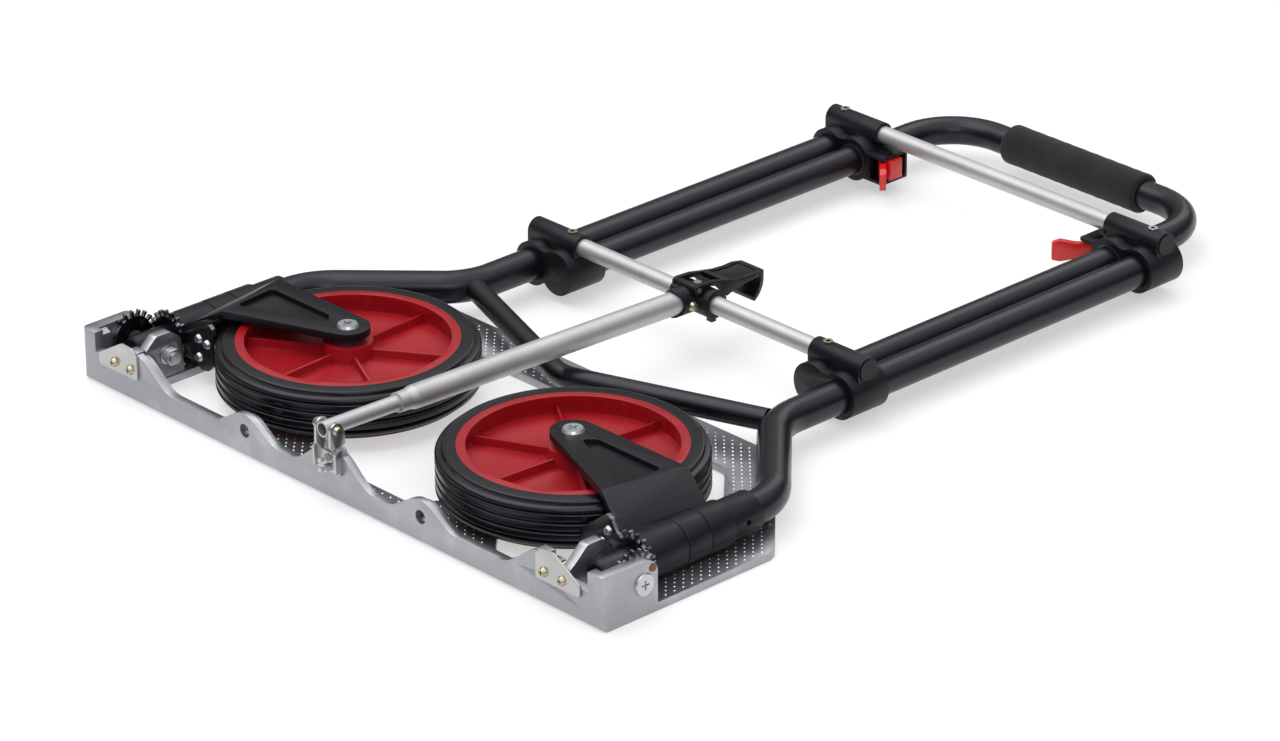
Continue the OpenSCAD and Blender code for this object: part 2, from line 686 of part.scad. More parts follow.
module wheel_rim(s) place() side(s) translate([wheel_x, wheel_y, 0]) color("#c01820") {
    rotate_extrude() polygon([
        [66, wheel_z[1]], [rim_r, wheel_z[1]], [rim_r, wheel_z[0]], [66, wheel_z[0]], [67.5, web_low],
        [hub_r, web_low], [hub_r, wheel_z[0] + 1], [bush_hole, wheel_z[0] + 1], [bush_hole, wheel_z[1] - 1],
        [hub_r, wheel_z[1] - 1], [hub_r, web_high], [67.5, web_high]
    ]);
    for (k = [0 : rib_count - 1]) rotate([0, 0, rib_turn + k * 360 / rib_count])
        translate([hub_r - 0.5, -0.8, rib_z[0]]) cube([67 - hub_r, 1.6, rib_z[1] - rib_z[0]]);
}

shoulder_r = 6;
groove_w = 1.4;
groove_d = 1.5;
groove_offsets = [-9.6, -3.2, 3.2, 9.6];

function tyre_side(top) = [for (i = [0 : 8])
    let (a = top ? 90 - i * 90 / 8 : -i * 90 / 8)
    [wheel_r - shoulder_r + shoulder_r * cos(a), (top ? wheel_z[1] - shoulder_r : wheel_z[0] + shoulder_r) + shoulder_r * sin(a)]];

module tyre(s) place() side(s) translate([wheel_x, wheel_y, 0]) color("#1b1b1d") rotate_extrude() difference() {
    polygon(concat([[rim_r, wheel_z[1]]], tyre_side(true), tyre_side(false), [[rim_r, wheel_z[0]]]));
    for (z = groove_offsets) translate([wheel_r - groove_d, wheel_mid + z - groove_w / 2]) square([5, groove_w]);
}

module wheel_bush(s) place() side(s) translate([wheel_x, wheel_y, 0]) color("ivory") rotate_extrude() polygon([
    [axle_r + fit, lower_arm_z[1] + gap], [12, lower_arm_z[1] + gap], [12, wheel_z[0] + 1],
    [bush_hole, wheel_z[0] + 1], [bush_hole, wheel_z[1] - 1], [11, wheel_z[1] - 1],
    [11, upper_arm_z[0] - gap], [axle_r + fit, upper_arm_z[0] - gap]
]);

// ---- handle body ----

handle_bend = 43;
handle_start = lower_clamp_x + 3;

module handle_tube() place() color("#26262a") {
    translate([grip_x - handle_bend, 0, axis_h]) both_sides() translate([0, handle_y, 0]) {
        pipe(handle_start - grip_x + handle_bend, lap, handle_r);
        pipe_bend(handle_bend, -90, handle_r);
    }
    translate([grip_x, 0, axis_h]) rotate([0, 0, 90])
        pipe(handle_bend - handle_y - lap, handle_y - handle_bend + lap, handle_r);
}

module grip() place() color("#2b2b2b") difference() {
    rod_y(grip_x, -grip_l / 2, grip_l / 2, axis_h, grip_r);
    rod_y(grip_x, -grip_l, grip_l, axis_h, handle_r);
}

module lower_clamp(s) place() side(s) color("#202023") difference() {
    union() {
        clamp_body(lower_clamp_x);
        clamp_socket(lower_x, 109, 154);
    }
    rod_x(lower_clamp_x - 1, lower_clamp_x + clamp_l + 1, frame_y, axis_h, frame_r + fit);
    rod_x(handle_start, lower_clamp_x + clamp_l + 1, handle_y, axis_h, handle_r);
    rod_y(lower_x, 100, 160, cross_z, cross_r);
    rod_z(lower_x, handle_y, cross_z, cross_z + 20, 2);
}

module lower_cross_tube() place() color("silver") difference() {
    cross_tube(lower_x, 149);
    both_sides() rod_z(lower_x, handle_y, cross_z, cross_z + 20, 2);
}

module lower_rivets() place() color("goldenrod") both_sides() socket_rivet(lower_x, handle_y);

module lower_end_caps() place() color("#1a1a1c") both_sides() end_cap(lower_x, 149, 154);

// Everything on the strut is drawn along its own axis, from the strut pivot towards the hub
module on_strut() translate([pivot_x, 0, pivot_z]) rotate([0, 90 + strut_tilt, 0]) children();

strut_l = norm([lower_x - pivot_x, pivot_z - hub_z]);
mouth_at = 55.2;
mouth_l = 8;
cone_l = 5;
mouth_r = 6.6;
strut_end = strut_l - 12;
strut_bore = 6.5;

module strut_tube() place() color("silver") on_strut() rotate_extrude() polygon([
    [rod_r + fit, mouth_at], [mouth_r, mouth_at], [mouth_r, mouth_at + mouth_l], [strut_r, mouth_at + mouth_l + cone_l],
    [strut_r, strut_end], [strut_bore, strut_end], [strut_bore, mouth_at + mouth_l + cone_l],
    [rod_r + fit, mouth_at + mouth_l]
]);

hub_mouth = strut_l - 25;
hub_barrel_r = 9.4;
hub_cross_r = 9.6;
scoop_r = 14;
scoop_depth = 5;
// Flat seats for the heads of the side screw and the top screw
hub_seat_y = 8.9;
hub_seat_z = cross_z + 9;

module strut_hub() place() color("#1e1e21") difference() {
    union() {
        on_strut() translate([0, 0, hub_mouth]) cylinder(h = 24, r = hub_barrel_r);
        rod_y(lower_x, -17, 17, cross_z, hub_cross_r);
        // Boss that carries the release lever's pin
        rod_y(lever_x, -7.7, 7.7, lever_z, 3.4);
        // Stop tab under the cross barrel
        translate([lower_x + 1, -12, 24]) cube([4, 5, 8]);
    }
    on_strut() translate([0, 0, hub_mouth - 1]) cylinder(h = strut_end - hub_mouth + 1, r = strut_r);
    rod_y(lower_x, -20, 20, cross_z, cross_r);
    // Scooped mouth: its sides stand back from its top and bottom
    on_strut() translate([0, 20, hub_mouth - scoop_r + scoop_depth]) rotate([90, 0, 0]) cylinder(h = 40, r = scoop_r);
    rod_y(lever_x, -20, 20, lever_z, lever_pin_r);
    rod_z(lower_x, 0, cross_z, 60, 1.8);
    rod_z(lower_x, 0, hub_seat_z, 60, 3.6);
    rod_y(lower_x - 13, -20, 0, hub_z - 1, 1.8);
    rod_y(lower_x - 13, -20, -hub_seat_y, hub_z - 1, 3.6);
}

module hub_screws() place() color("khaki") {
    rod_y(lower_x - 13, -hub_seat_y - 1, -strut_r, hub_z - 1, 1.8);
    translate([lower_x - 13, -hub_seat_y, hub_z - 1]) rotate([90, 0, 0]) cylinder(h = 2.4, r1 = 3.4, r2 = 2.6);
    rod_z(lower_x, 0, cross_z + cross_r, hub_seat_z, 1.8);
    translate([lower_x, 0, hub_seat_z]) cylinder(h = 2, r1 = 3.3, r2 = 2.6);
    rod_y(lever_x, -lever_cheek[1] - 0.3, lever_cheek[1] + 0.3, lever_z, lever_pin_r);
}

// ---- strut rod body ----

rod_back = -5;
rod_l = 259.7;
plug_l = 10;

module strut_rod() place() color("silver") on_strut() difference() {
    translate([0, 0, rod_back]) cylinder(h = rod_l - rod_back, r = rod_r);
    translate([0, 0, rod_back - 1]) cylinder(h = rod_l - rod_back + 2, r = rod_r - 1);
}

module rod_plug() place() color("white") on_strut() translate([0, 0, rod_l - plug_l]) difference() {
    cylinder(h = plug_l + 2, r = strut_bore - fit);
    translate([0, 0, -1]) cylinder(h = plug_l + 1, r = rod_r);
}

// ---- release lever body ----

lever_cheek = [8, 11];
lever_pin_r = 1.8;
lever_r = 3.6;
pad_z = 46.8;
hook_at = [345.5, 42];
hook_r = 16;
hook_t = 3.5;

function hook_arc(r, angles) = [for (a = angles) hook_at + r * [cos(a), sin(a)]];

// Side view: round the pivot, over the hub, along the pad, down and back in the hook, and back under the pad
lever_top = concat(
    [for (a = [270 : -20 : 90]) [lever_x + lever_r * cos(a), lever_z + lever_r * sin(a)]],
    [[314, 52.2], [327, 49.4], [336, 47.4], [345, pad_z - 0.3], [354, pad_z]]);
lever_outline = concat(
    lever_top, hook_arc(hook_r, [14 : -14 : -70]), hook_arc(hook_r - hook_t, [-70 : 14 : 0]),
    [[356, 43.6], [345, 42.6], [333, 40.5], [327.5, 38.2], [323.5, 39.5], [321.5, 43.5], [318, 48], [312, 49.5], [306.8, 47.4]]);
lever_plan = [
    [298, -11], [298, 11], [322, 11], [340, 12], [352, 12], [362, 10.2], [362, -10.2], [352, -12], [340, -12], [322, -11]
];

module release_lever() place() color("#1e1e21") difference() {
    intersection() {
        along_y(-20, 20) polygon(lever_outline);
        along_z(20, 60) polygon(rounded(lever_plan, 2));
    }
    // Between the cheeks: open over the hub, and hollow under the pad
    along_y(-lever_cheek[0], lever_cheek[0]) polygon([[290, 30], [324, 30], [324, 60], [290, 60]]);
    along_y(-9, 9) polygon([[320, 30], [348, 30], [352, 40], [352, 43], [345, 42.8], [330, 45], [320, 47.5]]);
    // Dished top of the pad
    along_y(-8.6, 8.6) polygon([[328, 60], [329, 48.1], [337, 46.3], [345, pad_z - 1.2], [356, pad_z - 0.9], [357, 60]]);
    rod_y(lever_x, -20, 20, lever_z, lever_pin_r + fit);
}

toe_plate();
gear_sector(1);  // gear_sector_left
gear_sector(-1);  // gear_sector_right
gear_rivets();
hinge_bolt(1);  // hinge_bolt_left
hinge_bolt(-1);  // hinge_bolt_right
hinge_nuts();
latch_plate(1);  // latch_plate_left
latch_plate(-1);  // latch_plate_right
latch_screws();
strut_bracket();
bracket_bolts();
pivot_bolt();
frame_tube(1);  // frame_tube_left
frame_tube(-1);  // frame_tube_right
hinge_knuckle(1);  // hinge_knuckle_left
hinge_knuckle(-1);  // hinge_knuckle_right
hinge_bushes();
pivot_collar(1);  // pivot_collar_left
pivot_collar(-1);  // pivot_collar_right
v_brace();
upper_clamp(1);  // upper_clamp_left
upper_clamp(-1);  // upper_clamp_right
upper_cross_tube();
upper_rivets();
upper_end_caps();
guide_bushes();
lock_pins();
lock_lever(1);  // lock_lever_left
lock_lever(-1);  // lock_lever_right
wheel_bracket(1);  // wheel_bracket_left
wheel_bracket(-1);  // wheel_bracket_right
lower_arm(1);  // lower_arm_left
lower_arm(-1);  // lower_arm_right
bracket_gear(1);  // bracket_gear_left
bracket_gear(-1);  // bracket_gear_right
bracket_screws(1);  // bracket_screws_left
bracket_screws(-1);  // bracket_screws_right
axle_bolt(1);  // axle_bolt_left
axle_bolt(-1);  // axle_bolt_right
wheel_rim(1);  // wheel_rim_left
wheel_rim(-1);  // wheel_rim_right
tyre(1);  // tyre_left
tyre(-1);  // tyre_right
wheel_bush(1);  // wheel_bush_left
wheel_bush(-1);  // wheel_bush_right
handle_tube();
grip();
lower_clamp(1);  // lower_clamp_left
lower_clamp(-1);  // lower_clamp_right
lower_cross_tube();
lower_rivets();
lower_end_caps();
strut_tube();
strut_hub();
hub_screws();
strut_rod();
rod_plug();
release_lever();
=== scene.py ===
"""Looks for the folding hand truck, lying folded flat. Lengths are in metres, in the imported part's frame."""
import json
import math

import bmesh
import bpy
from mathutils import Matrix, Vector
from mathutils.bvhtree import BVHTree


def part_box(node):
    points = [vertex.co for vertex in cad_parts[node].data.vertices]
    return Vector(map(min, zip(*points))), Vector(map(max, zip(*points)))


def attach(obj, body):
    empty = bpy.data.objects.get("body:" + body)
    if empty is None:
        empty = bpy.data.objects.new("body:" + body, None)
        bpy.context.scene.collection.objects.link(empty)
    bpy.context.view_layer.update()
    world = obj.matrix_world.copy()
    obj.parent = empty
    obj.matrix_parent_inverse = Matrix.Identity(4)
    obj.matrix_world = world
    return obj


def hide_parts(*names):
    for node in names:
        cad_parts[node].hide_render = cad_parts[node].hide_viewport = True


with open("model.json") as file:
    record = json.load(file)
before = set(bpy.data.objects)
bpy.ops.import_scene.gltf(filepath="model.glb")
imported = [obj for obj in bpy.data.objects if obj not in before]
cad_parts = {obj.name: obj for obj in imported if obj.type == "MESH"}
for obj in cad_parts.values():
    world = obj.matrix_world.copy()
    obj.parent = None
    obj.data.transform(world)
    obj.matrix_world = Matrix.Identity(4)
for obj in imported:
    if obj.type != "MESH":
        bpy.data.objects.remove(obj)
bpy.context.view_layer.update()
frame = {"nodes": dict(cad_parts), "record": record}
scene = bpy.context.scene
NODES = frame["nodes"]
MM = 0.001
# The model's middle along X, from the rear face of the toe plate's beam
MID = 338.9


def at(x, y, z):
    """Millimetres from the beam's rear face, as in the CAD source, to the row frame in metres."""
    return Vector(((x - MID) * MM, y * MM, z * MM))


# ---------------------------------------------------------------- camera and light

CAMERA_AZIMUTH = math.radians(-133.1306)
CAMERA_ELEVATION = math.radians(25.228)
CAMERA_ROLL = math.radians(-0.359)
CAMERA_DISTANCE = 3.67263
CAMERA_TARGET = (-0.07459, 0.00452, 0)
LENS, SENSOR = 160.493, 36


def make_camera():
    azimuth, elevation, roll = CAMERA_AZIMUTH, CAMERA_ELEVATION, CAMERA_ROLL
    level = math.cos(elevation)
    back = Vector((math.cos(azimuth) * level, math.sin(azimuth) * level, math.sin(elevation)))
    right = (-back).cross(Vector((0, 0, 1))).normalized()
    up = right.cross(-back)
    tilted_right = right * math.cos(roll) + up * math.sin(roll)
    tilted_up = up * math.cos(roll) - right * math.sin(roll)
    place = Vector(CAMERA_TARGET) + back * CAMERA_DISTANCE
    data = bpy.data.cameras.new("camera")
    data.sensor_width = SENSOR
    data.lens = LENS
    data.clip_end = 50
    camera = bpy.data.objects.new("camera", data)
    camera.matrix_world = Matrix((
        (tilted_right.x, tilted_up.x, back.x, place.x),
        (tilted_right.y, tilted_up.y, back.y, place.y),
        (tilted_right.z, tilted_up.z, back.z, place.z),
        (0, 0, 0, 1)))
    scene.collection.objects.link(camera)
    scene.camera = camera


def area_light(name, place, target, size, power):
    data = bpy.data.lights.new(name, "AREA")
    data.shape = "RECTANGLE"
    data.size, data.size_y = size
    data.energy = power
    lamp = bpy.data.objects.new(name, data)
    lamp.location = place
    lamp.rotation_euler = (Vector(target) - Vector(place)).to_track_quat("-Z", "Y").to_euler()
    scene.collection.objects.link(lamp)


def make_studio():
    """Bright overhead, dark towards the horizon, as in a tent of soft boxes; the backdrop itself is white."""
    world = bpy.data.worlds.new("studio")
    scene.world = world
    world.use_nodes = True
    tree = world.node_tree
    background = tree.nodes["Background"]
    direction = tree.nodes.new("ShaderNodeTexCoord").outputs["Generated"]
    height = tree.nodes.new("ShaderNodeSeparateXYZ")
    tree.links.new(direction, height.inputs[0])
    glow = tree.nodes.new("ShaderNodeMapRange")
    glow.interpolation_type = "SMOOTHSTEP"
    for key, value in {"From Min": 0.25, "From Max": 0.95, "To Min": 0.16, "To Max": 1.5}.items():
        glow.inputs[key].default_value = value
    tree.links.new(height.outputs[2], glow.inputs["Value"])
    seen = tree.nodes.new("ShaderNodeLightPath").outputs["Is Camera Ray"]
    choose = tree.nodes.new("ShaderNodeMix")
    tree.links.new(seen, choose.inputs[0])
    tree.links.new(glow.outputs[0], choose.inputs[2])
    choose.inputs[3].default_value = 1.0
    background.inputs["Color"].default_value = (1, 1, 1, 1)
    tree.links.new(choose.outputs[0], background.inputs["Strength"])
    area_light("key_softbox", (-0.6, 0.8, 2.2), (0, 0, 0), (2.4, 2.0), 22)
    area_light("rear_softbox", (1.8, 0.6, 1.5), (0, 0, 0), (1.0, 2.0), 6)
    area_light("side_softbox", (-1.5, -1.7, 1.4), (-0.1, 0, 0), (1.2, 0.9), 8)
    bpy.ops.mesh.primitive_plane_add(size=12, location=(0, 0, -0.0002))
    floor = bpy.context.object
    floor.name = "studio_floor"
    floor.data.materials.append(material_floor())
    scene.view_settings.view_transform = "Standard"


# ---------------------------------------------------------------- materials

class Nodes:
    """A small helper that builds a procedural material around one Principled shader."""

    def __init__(self, name):
        self.material = bpy.data.materials.new(name)
        self.material.use_nodes = True
        self.tree = self.material.node_tree
        self.shader = self.tree.nodes["Principled BSDF"]
        self.coords = self.tree.nodes.new("ShaderNodeTexCoord").outputs["Object"]

    def set(self, **values):
        for key, value in values.items():
            self.shader.inputs[key.replace("_", " ")].default_value = value
        return self

    def add(self, kind, inputs=(), **props):
        node = self.tree.nodes.new(kind)
        for key, value in props.items():
            setattr(node, key, value)
        for key, value in dict(inputs).items():
            if isinstance(value, bpy.types.NodeSocket):
                self.tree.links.new(value, node.inputs[key])
            else:
                node.inputs[key].default_value = value
        return node

    def link(self, socket, key):
        self.tree.links.new(socket, self.shader.inputs[key])

    def scaled(self, factors):
        """Object coordinates stretched by a factor along each axis."""
        return self.add("ShaderNodeVectorMath", {0: self.coords, 1: factors}, operation="MULTIPLY").outputs[0]

    def noise(self, scale, detail=2.0, vector=None):
        return self.add("ShaderNodeTexNoise", {
            "Vector": vector or self.coords, "Scale": scale, "Detail": detail,
            "Roughness": 0.5}).outputs["Fac"]

    def math(self, operation, a, b=0.0):
        return self.add("ShaderNodeMath", {0: a, 1: b}, operation=operation).outputs[0]

    def ramp(self, value, low, high, out_low=0.0, out_high=1.0):
        """A value mapped from low..high to out_low..out_high."""
        return self.add("ShaderNodeMapRange", {
            "Value": value, "From Min": low, "From Max": high,
            "To Min": out_low, "To Max": out_high}).outputs[0]

    def mix(self, factor, a, b):
        node = self.add("ShaderNodeMix", data_type="RGBA")
        for key, value in ((0, factor), (6, a), (7, b)):
            if isinstance(value, bpy.types.NodeSocket):
                self.tree.links.new(value, node.inputs[key])
            else:
                node.inputs[key].default_value = value if key == 0 else (*value, 1)
        return node.outputs[2]

    def bump(self, height, distance, strength):
        node = self.add("ShaderNodeBump", {"Height": height, "Distance": distance, "Strength": strength})
        self.link(node.outputs[0], "Normal")


def material_floor():
    m = Nodes("floor_paper")
    m.set(Base_Color=(0.45, 0.45, 0.45, 1), Roughness=0.9, Specular_IOR_Level=0.2,
          Emission_Color=(1, 1, 1, 1), Emission_Strength=0.5)
    return m.material


def material_cast():
    """Die-cast aluminium: satin grain, flow marks, rubbed patches, small dark nicks and soft waves."""
    m = Nodes("cast_aluminium")
    m.set(Metallic=0.9, IOR=1.5)
    flow = m.noise(9, 4, m.scaled((1.0, 0.35, 2.2)))
    patch = m.noise(38, 4)
    nick = m.noise(170, 3, m.scaled((1.0, 0.6, 1.6)))
    grain = m.noise(1500, 2)
    wave = m.noise(75, 3)
    base = m.mix(m.ramp(flow, 0.32, 0.68), (0.325, 0.33, 0.36), (0.40, 0.40, 0.43))
    rubbed = m.mix(m.ramp(patch, 0.52, 0.72, 0.0, 0.55), base, (0.50, 0.51, 0.54))
    m.link(m.mix(m.ramp(nick, 0.68, 0.76, 0.0, 0.5), rubbed, (0.17, 0.17, 0.18)), "Base Color")
    gloss = m.math("ADD", m.ramp(patch, 0.3, 0.7, 0.40, 0.29), m.ramp(grain, 0.3, 0.7, -0.03, 0.04))
    m.link(gloss, "Roughness")
    skin = m.math("ADD", wave, m.math("MULTIPLY", grain, 0.05))
    m.bump(skin, 0.00045, 0.35)
    return m.material


def material_metal(name, colour, roughness, spread=0.04, scale=260):
    """Plated, drawn or turned metal: slow tone changes, fine gloss changes, a hair of grain."""
    m = Nodes(name)
    m.set(Metallic=1.0)
    fine = m.noise(scale, 3)
    cloud = m.noise(35, 3)
    darker = tuple(c * 0.9 for c in colour)
    m.link(m.mix(m.ramp(cloud, 0.3, 0.7), darker, colour), "Base Color")
    m.link(m.ramp(fine, 0.3, 0.7, roughness - spread, roughness + spread), "Roughness")
    m.bump(fine, 0.000006, 0.3)
    return m.material


def material_plastic(name, colour, roughness, grain=0.00002, scale=1300, coat=0.0, specular=0.5,
                     tint=(1, 1, 1)):
    """Moulded plastic or powder coat: fine grain, and slight clouding of colour and gloss."""
    m = Nodes(name)
    m.set(Coat_Weight=coat, Coat_Roughness=0.15, Specular_IOR_Level=specular, Specular_Tint=(*tint, 1))
    spread = 0.04
    cloud = m.noise(30, 3)
    fine = m.noise(scale, 2)
    darker = tuple(c * 0.84 for c in colour)
    m.link(m.mix(m.ramp(cloud, 0.3, 0.7), darker, colour), "Base Color")
    m.link(m.ramp(cloud, 0.3, 0.7, roughness - spread, roughness + spread), "Roughness")
    m.bump(fine, grain, 0.4)
    return m.material


def material_gear(name, axis):
    """Blackened sheet steel: dark on its two faces, bright where it was stamped and where teeth meet."""
    m = Nodes(name)
    m.set(Metallic=1.0)
    normal = m.add("ShaderNodeSeparateXYZ", {0: m.add("ShaderNodeTexCoord").outputs["Normal"]}).outputs[axis]
    face = m.ramp(m.math("ABSOLUTE", normal), 0.85, 0.97)
    cloud = m.noise(60, 3)
    dark = m.mix(m.ramp(cloud, 0.3, 0.7), (0.030, 0.030, 0.034), (0.060, 0.060, 0.066))
    worn = m.mix(m.ramp(m.noise(160, 3), 0.35, 0.65), (0.08, 0.08, 0.09), (0.28, 0.28, 0.30))
    m.link(m.mix(face, worn, dark), "Base Color")
    m.link(m.ramp(m.noise(300, 3), 0.3, 0.7, 0.30, 0.42), "Roughness")
    m.bump(cloud, 0.00002, 0.3)
    return m.material


def material_foam():
    """Closed-cell foam: small pores and a dull nap."""
    m = Nodes("grip_foam")
    m.set(Roughness=0.92, Sheen_Weight=0.1, Sheen_Roughness=0.6, Specular_IOR_Level=0.2)
    cells = m.add("ShaderNodeTexVoronoi", {"Vector": m.coords, "Scale": 1400}).outputs["Distance"]
    cloud = m.noise(60, 3)
    m.link(m.mix(m.ramp(cloud, 0.3, 0.7), (0.009, 0.009, 0.010), (0.015, 0.014, 0.015)), "Base Color")
    m.bump(m.math("ADD", cells, m.noise(2500, 2)), 0.00010, 0.6)
    return m.material


BLACK = (0.0046, 0.0043, 0.0060)
# Black mouldings and coatings reflect a trace of blue
COOL = (0.86, 0.86, 1.0)
MATERIALS = {
    "cast_aluminium": material_cast(),
    "satin_aluminium": material_metal("satin_aluminium", (0.555, 0.55, 0.56), 0.54, spread=0.03),
    "dark_steel": material_gear("sector_steel", 1),
    "zinc_steel": material_metal("zinc_steel", (0.56, 0.57, 0.59), 0.34),
    "zinc_plate": material_metal("zinc_plate", (0.50, 0.50, 0.49), 0.33, spread=0.06, scale=90),
    "yellow_zinc": material_metal("yellow_zinc", (0.48, 0.45, 0.34), 0.34),
    "brass": material_metal("brass", (0.47, 0.41, 0.29), 0.36),
    "black_tube": material_plastic(
        "black_tube", BLACK, 0.29, grain=0.000005, scale=1800, specular=0.42, tint=COOL),
    "black_plastic": material_plastic(
        "black_plastic", BLACK, 0.42, grain=0.00012, scale=520, specular=0.29, tint=COOL),
    "grey_nylon": material_plastic("grey_nylon", (0.03, 0.03, 0.034), 0.45),
    "nylon": material_plastic("nylon", (0.75, 0.74, 0.70), 0.45),
    "red_plastic": material_plastic("red_plastic", (0.62, 0.012, 0.010), 0.3, coat=0.2),
    "rim_red": material_plastic("rim_red", (0.33, 0.006, 0.012), 0.33, specular=0.35),
    "tyre_rubber": material_plastic(
        "tyre_rubber", (0.0038, 0.0038, 0.0048), 0.25, specular=0.38, tint=COOL),
    "foam": material_foam(),
}
# Near-white metal for the plate dots: a painted highlight that stands in for the glint each small dot catches
DOT_PAINTED_HIGHLIGHT = material_metal("dot_metal", (0.92, 0.93, 0.95), 0.34)
# Nodes whose finish differs from the rest of their slot
SPECIAL = {
    "gear_rivets": material_metal("gear_rivets", (0.20, 0.11, 0.065), 0.42),
    "bracket_gear_left": material_gear("bracket_steel", 0),
}
SPECIAL["bracket_gear_right"] = SPECIAL["bracket_gear_left"]

SLOT_OF = {s["node"]: s["material_slot"] for s in frame["record"]["subparts"]}


def dress_frame():
    """Gives each CAD node its procedural material."""
    for name, node in NODES.items():
        node.data.materials.clear()
        node.data.materials.append(SPECIAL.get(name) or MATERIALS[SLOT_OF[name]])


def new_piece(name, mesh, body, slot):
    """Links a mesh as a piece that rides on a body and takes the finish of a slot."""
    piece = bpy.data.objects.new(name, mesh)
    scene.collection.objects.link(piece)
    if not mesh.materials:
        mesh.materials.append(MATERIALS[slot])
    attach(piece, body)
    return piece


def smooth(mesh, angle):
    for polygon in mesh.polygons:
        polygon.use_smooth = True
    mesh.set_sharp_from_angle(angle=math.radians(angle))


def mesh_of(work, name):
    mesh = bpy.data.meshes.new(name)
    bmesh.ops.recalc_face_normals(work, faces=work.faces)
    work.to_mesh(mesh)
    work.free()
    return mesh


def body_of(name):
    """The body that a CAD node belongs to."""
    return next(b for b, members in frame["record"]["behaviour"]["bodies"].items() if name in members)


def round_corners(work):
    """Rounds the upright edges at the two rear corners of the plate, as the casting has them."""
    x = min(v.co.x for v in work.verts)
    y = max(v.co.y for v in work.verts)

    def at_corner(vertex):
        return abs(vertex.co.x - x) < 0.1 * MM and abs(abs(vertex.co.y) - y) < 0.1 * MM

    upright = [e for e in work.edges if all(at_corner(v) for v in e.verts)]
    bmesh.ops.bevel(work, geom=upright, offset=4 * MM, segments=6, profile=0.5, affect="EDGES")


def refine(name, width):
    """A copy of a CAD node's mesh with its edges rounded by a width in millimetres, shown in its place."""
    mesh = NODES[name].data.copy()
    work = bmesh.new()
    work.from_mesh(mesh)
    bmesh.ops.remove_doubles(work, verts=work.verts, dist=1e-6)
    bmesh.ops.dissolve_limit(work, angle_limit=math.radians(0.6), verts=work.verts, edges=work.edges)
    if name == "toe_plate":
        round_corners(work)
    work.to_mesh(mesh)
    work.free()
    piece = new_piece("fine_" + name, mesh, body_of(name), SLOT_OF[name])
    bevel = piece.modifiers.new("bevel", "BEVEL")
    bevel.width = width * MM
    bevel.segments = 2
    bevel.limit_method = "ANGLE"
    bevel.angle_limit = math.radians(28)
    finished = bpy.data.meshes.new_from_object(piece.evaluated_get(bpy.context.evaluated_depsgraph_get()))
    piece.modifiers.clear()
    piece.data = finished
    smooth(finished, 32)
    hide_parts(name)


def lathe(name, profile, axis_at, axis, segments):
    """A mesh turned from a closed outline of (radius, height) points, in metres, about an axis."""
    work = bmesh.new()
    turn = Vector((0, 0, 1)).rotation_difference(Vector(axis)).to_matrix()
    rings = []
    for k in range(segments):
        c = math.cos(2 * math.pi * k / segments)
        s = math.sin(2 * math.pi * k / segments)
        rings.append([work.verts.new(Vector(axis_at) + turn @ Vector((r * c, r * s, h))) for r, h in profile])
    count = len(profile)
    for k in range(segments):
        here, there = rings[k], rings[(k + 1) % segments]
        for i in range(count):
            j = (i + 1) % count
            work.faces.new((here[i], here[j], there[j], there[i]))
    return mesh_of(work, name)


# ---------------------------------------------------------------- wheels, grip and plate dots

def tyre_profile(outer, inner, half):
    """Half-width section of the solid tyre: flat wall, stepped shoulder and ribbed tread, in metres."""
    wall = outer - 4.2 * MM
    step = [(inner, half), (wall - 1.6 * MM, half)]
    step += [(wall - 1.6 * MM + 1.6 * MM * math.sin(a), half - 1.6 * MM * (1 - math.cos(a)))
             for a in (math.radians(d) for d in (30, 60, 90))]
    step += [(wall + 0.2 * MM, half - 2.6 * MM), (wall + 1.2 * MM, half - 2.9 * MM)]
    edge = half - 2.9 * MM
    step += [(wall + 1.2 * MM + 3 * MM * math.sin(a), edge - 2.6 * MM * (1 - math.cos(a)))
             for a in (math.radians(d) for d in (25, 50, 75, 90))]
    grooves = (-9.6, -3.2, 3.2, 9.6)
    tread_top = edge - 3.0 * MM
    steps = 56
    tread = []
    for k in range(steps + 1):
        z = tread_top * (1 - 2 * k / steps)
        dip = sum(math.exp(-((z / MM - g) / 0.75) ** 2) for g in grooves)
        crown = min(abs(z / MM - m) for m in (-12.8, -6.4, 0, 6.4, 12.8)) / 3.2
        tread.append((outer - (1.6 * dip + 0.35 * crown ** 2) * MM, z))
    lower = [(r, -z) for r, z in reversed(step)]
    return step + tread + lower


def make_tyre(side):
    low, high = (Vector(v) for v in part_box("tyre_" + side))
    middle = (low + high) / 2
    outer = (high.x - low.x) / 2
    rim_low, rim_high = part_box("wheel_rim_" + side)
    inner = (rim_high[0] - rim_low[0]) / 2
    profile = tyre_profile(outer, inner, (high.z - low.z) / 2)
    mesh = lathe("tyre_tread_" + side, profile, middle, (0, 0, 1), 144)
    piece = new_piece("tyre_tread_" + side, mesh, "wheel_" + side, "tyre_rubber")
    smooth(mesh, 50)
    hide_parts("tyre_" + side)


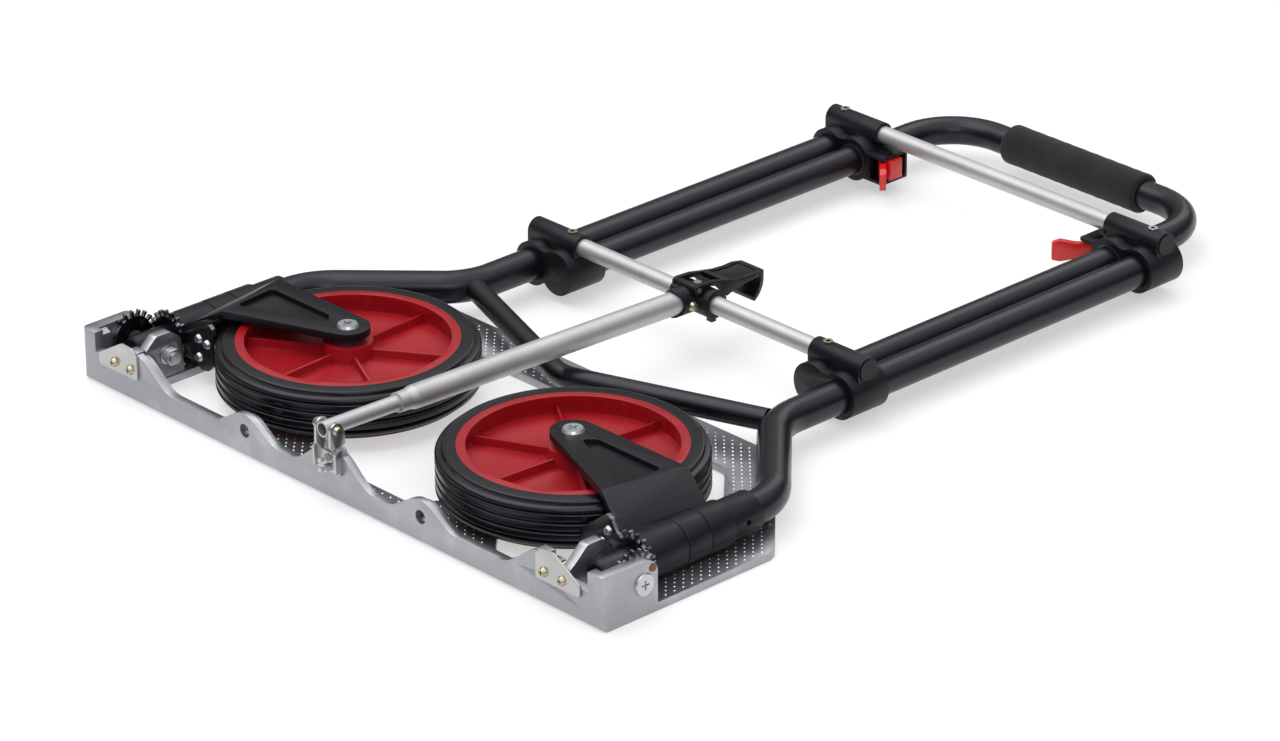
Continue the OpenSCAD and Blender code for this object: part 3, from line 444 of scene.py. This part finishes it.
def make_grip():
    """The foam sleeve: soft rounded ends and a faintly uneven surface, as pushed on foam has."""
    low, high = (Vector(v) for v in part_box("grip"))
    middle = (low + high) / 2
    outer, inner, half = (high.z - low.z) / 2, 10.0 * MM, (high.y - low.y) / 2
    ends = 2.4 * MM
    profile = [(inner, half - 0.5 * MM)]
    profile += [(outer - ends + ends * math.sin(a), half - ends + ends * math.cos(a))
                for a in (math.radians(d) for d in range(0, 91, 15))]
    for k in range(1, 24):
        y = (half - ends) * (1 - k / 12)
        swell = 0.25 * MM * (0.5 + 0.5 * math.cos(9 * math.pi * k / 12 + 0.7))
        profile.append((outer - swell, y))
    profile += [(outer - ends + ends * math.sin(a), -half + ends - ends * math.cos(a))
                for a in (math.radians(d) for d in range(90, -1, -15))]
    profile.append((inner, -half + 0.5 * MM))
    mesh = lathe("grip_sleeve", profile, middle, (0, 1, 0), 72)
    piece = new_piece("grip_sleeve", mesh, "handle", "foam")
    smooth(mesh, 40)
    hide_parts("grip")


def make_dots():
    """Rows of small raised dots on the upper face of the plate, each row half a pitch past the last."""
    plate = NODES["toe_plate"].data
    tree = BVHTree.FromPolygons([v.co for v in plate.vertices], [p.vertices[:] for p in plate.polygons])
    top = 5.5 * MM
    pitch_x, pitch_y = 7.25 * MM, 7.65 * MM
    radius, height, margin = 0.85 * MM, 0.4 * MM, 3.4 * MM
    # A dot's waist: how far in from its foot, and how high
    waist_radius, waist_height = 0.72 * radius, 0.62 * height
    low, high = (Vector(v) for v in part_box("toe_plate"))
    start = at(14, 0, 0).x
    around = [Vector((math.cos(a), math.sin(a), 0)) for a in (k * math.pi / 4 for k in range(8))]

    def solid(place):
        where = tree.ray_cast(place + Vector((0, 0, 40 * MM)), Vector((0, 0, -1)))[0]
        return where and abs(where.z - top) < 0.05 * MM

    work = bmesh.new()
    columns = int((high.x - start) / pitch_x * 2) + 1
    rows = int((high.y - low.y) / pitch_y) + 1
    for i in range(columns):
        x = start + i * pitch_x / 2
        for j in range(rows + 1):
            y = (j - rows // 2 + (0.5 if i % 2 else 0)) * pitch_y
            place = Vector((x, y, top))
            if not (solid(place) and all(solid(place + margin * v) for v in around)):
                continue
            foot = [work.verts.new(place + radius * v - Vector((0, 0, 0.05 * MM))) for v in around]
            waist = [work.verts.new(place + waist_radius * v + Vector((0, 0, waist_height))) for v in around]
            peak = work.verts.new(place + Vector((0, 0, height)))
            for k in range(8):
                n = (k + 1) % 8
                work.faces.new((foot[k], foot[n], waist[n], waist[k]))
                work.faces.new((waist[k], waist[n], peak))
            work.faces.new(list(reversed(foot)))
    mesh = mesh_of(work, "plate_dots")
    # The dots take the near-white painted-highlight metal
    mesh.materials.append(DOT_PAINTED_HIGHLIGHT)
    piece = new_piece("plate_dots", mesh, "toe_plate_body", "cast_aluminium")
    smooth(piece.data, 75)


# ---------------------------------------------------------------- the whole scene

EDGES = {
    "toe_plate": 1.4, "strut_hub": 0.9, "release_lever": 1.2, "strut_bracket": 0.5, "bracket_bolts": 0.3,
    "latch_plate_{}": 0.35, "gear_sector_{}": 0.25, "bracket_gear_{}": 0.25, "pivot_collar_{}": 0.8,
    "upper_clamp_{}": 1.2, "lower_clamp_{}": 1.2, "wheel_bracket_{}": 1.2, "lower_arm_{}": 1.0,
    "wheel_rim_{}": 0.6, "lock_lever_{}": 0.7, "hinge_knuckle_{}": 0.6, "hinge_nuts": 0.5,
}

make_camera()
make_studio()
dress_frame()
for node_name in sorted(NODES):
    smooth(NODES[node_name].data, 30)
for pattern, width in EDGES.items():
    for side in (("left", "right") if "{}" in pattern else ("",)):
        refine(pattern.format(side), width)
for side in ("left", "right"):
    make_tyre(side)
make_grip()
make_dots()
